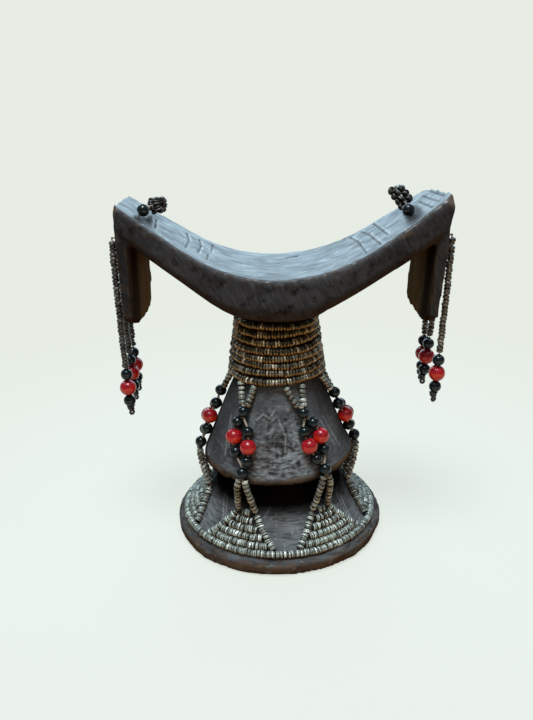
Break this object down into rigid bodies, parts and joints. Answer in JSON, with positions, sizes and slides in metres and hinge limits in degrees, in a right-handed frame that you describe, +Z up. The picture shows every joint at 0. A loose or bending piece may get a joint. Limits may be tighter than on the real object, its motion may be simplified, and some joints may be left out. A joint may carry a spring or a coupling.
{
  "type": "headrest",
  "caption": "Carved wooden headrest: a round flared foot and neck carry a curved cradle with hanging lugs, trimmed with a bead collar, a bead net and swinging bead strands.",
  "frame": {"origin": "centre of the base's underside, on the axis of the neck", "axes": "+Z up from the base to the cradle, X along the arms of the cradle, -Y to the front"},
  "size_m": [0.1678, 0.11, 0.1822],
  "materials": {
    "wood": "satin",
    "seed_bead": "satin",
    "black_glass": "gloss",
    "red_glass": "gloss",
    "thread": "matte"
  },
  "bodies": {
    "headrest": {"carved_body": "wood", "collar_row_1": "seed_bead", "collar_row_2": "seed_bead", "collar_row_3": "seed_bead", "collar_row_4": "seed_bead", "collar_row_5": "seed_bead", "collar_row_6": "seed_bead", "collar_row_7": "seed_bead", "collar_row_8": "seed_bead", "collar_threads": "thread", "net_seeds_1": "seed_bead", "net_seeds_2": "seed_bead", "net_seeds_3": "seed_bead", "net_seeds_4": "seed_bead", "net_seeds_5": "seed_bead", "net_seeds_6": "seed_bead", "net_black_beads": "black_glass", "net_red_beads": "red_glass", "net_threads": "thread", "panel_1": "seed_bead", "panel_2": "seed_bead", "panel_3": "seed_bead", "panel_4": "seed_bead", "panel_5": "seed_bead", "panel_6": "seed_bead", "panel_threads": "thread", "stop_seeds": "seed_bead", "stop_black_beads": "black_glass", "stop_threads": "thread"},
    "left_front_strand": {"left_front_seeds": "seed_bead", "left_front_thread": "thread"},
    "left_front_drop": {"left_front_drop_black": "black_glass", "left_front_drop_red": "red_glass", "left_front_drop_thread": "thread"},
    "left_middle_strand": {"left_middle_seeds": "seed_bead", "left_middle_thread": "thread"},
    "left_middle_drop": {"left_middle_drop_black": "black_glass", "left_middle_drop_red": "red_glass", "left_middle_drop_thread": "thread"},
    "left_back_strand": {"left_back_seeds": "seed_bead", "left_back_thread": "thread"},
    "left_back_drop": {"left_back_drop_black": "black_glass", "left_back_drop_red": "red_glass", "left_back_drop_thread": "thread"},
    "right_front_strand": {"right_front_seeds": "seed_bead", "right_front_thread": "thread"},
    "right_front_drop": {"right_front_drop_black": "black_glass", "right_front_drop_red": "red_glass", "right_front_drop_thread": "thread"},
    "right_middle_strand": {"right_middle_seeds": "seed_bead", "right_middle_thread": "thread"},
    "right_middle_drop": {"right_middle_drop_black": "black_glass", "right_middle_drop_red": "red_glass", "right_middle_drop_thread": "thread"},
    "right_back_strand": {"right_back_seeds": "seed_bead", "right_back_thread": "thread"},
    "right_back_drop": {"right_back_drop_black": "black_glass", "right_back_drop_red": "red_glass", "right_back_drop_thread": "thread"}
  },
  "joints": [
    {"name": "left_front_swing", "type": "hinge", "parent": "headrest", "child": "left_front_strand", "pos_m": [-0.07711, -0.01238, 0.162], "axis": [0, 1, 0], "range_deg": [-1, 70]},
    {"name": "left_front_drop_sway", "type": "hinge", "parent": "left_front_strand", "child": "left_front_drop", "pos_m": [-0.07711, -0.01238, 0.09554], "axis": [1, 0, 0], "range_deg": [-12, 12]},
    {"name": "left_middle_swing", "type": "hinge", "parent": "headrest", "child": "left_middle_strand", "pos_m": [-0.07644, 0.00248, 0.162], "axis": [0, 1, 0], "range_deg": [-1, 70]},
    {"name": "left_middle_drop_sway", "type": "hinge", "parent": "left_middle_strand", "child": "left_middle_drop", "pos_m": [-0.07644, 0.00248, 0.09739], "axis": [1, 0, 0], "range_deg": [-12, 12]},
    {"name": "left_back_swing", "type": "hinge", "parent": "headrest", "child": "left_back_strand", "pos_m": [-0.07591, 0.01402, 0.162], "axis": [0, 1, 0], "range_deg": [-1, 70]},
    {"name": "left_back_drop_sway", "type": "hinge", "parent": "left_back_strand", "child": "left_back_drop", "pos_m": [-0.07591, 0.01402, 0.09739], "axis": [1, 0, 0], "range_deg": [-12, 12]},
    {"name": "right_front_swing", "type": "hinge", "parent": "headrest", "child": "right_front_strand", "pos_m": [0.08267, -0.01537, 0.162], "axis": [0, -1, 0], "range_deg": [-1, 70]},
    {"name": "right_front_drop_sway", "type": "hinge", "parent": "right_front_strand", "child": "right_front_drop", "pos_m": [0.08267, -0.01537, 0.10294], "axis": [1, 0, 0], "range_deg": [-12, 12]},
    {"name": "right_middle_swing", "type": "hinge", "parent": "headrest", "child": "right_middle_strand", "pos_m": [0.08042, 0.00308, 0.162], "axis": [0, -1, 0], "range_deg": [-1, 70]},
    {"name": "right_middle_drop_sway", "type": "hinge", "parent": "right_middle_strand", "child": "right_middle_drop", "pos_m": [0.08042, 0.00308, 0.10479], "axis": [1, 0, 0], "range_deg": [-12, 12]},
    {"name": "right_back_swing", "type": "hinge", "parent": "headrest", "child": "right_back_strand", "pos_m": [0.07867, 0.01742, 0.162], "axis": [0, -1, 0], "range_deg": [-1, 70]},
    {"name": "right_back_drop_sway", "type": "hinge", "parent": "right_back_strand", "child": "right_back_drop", "pos_m": [0.07867, 0.01742, 0.10109], "axis": [1, 0, 0], "range_deg": [-12, 12]}
  ]
}
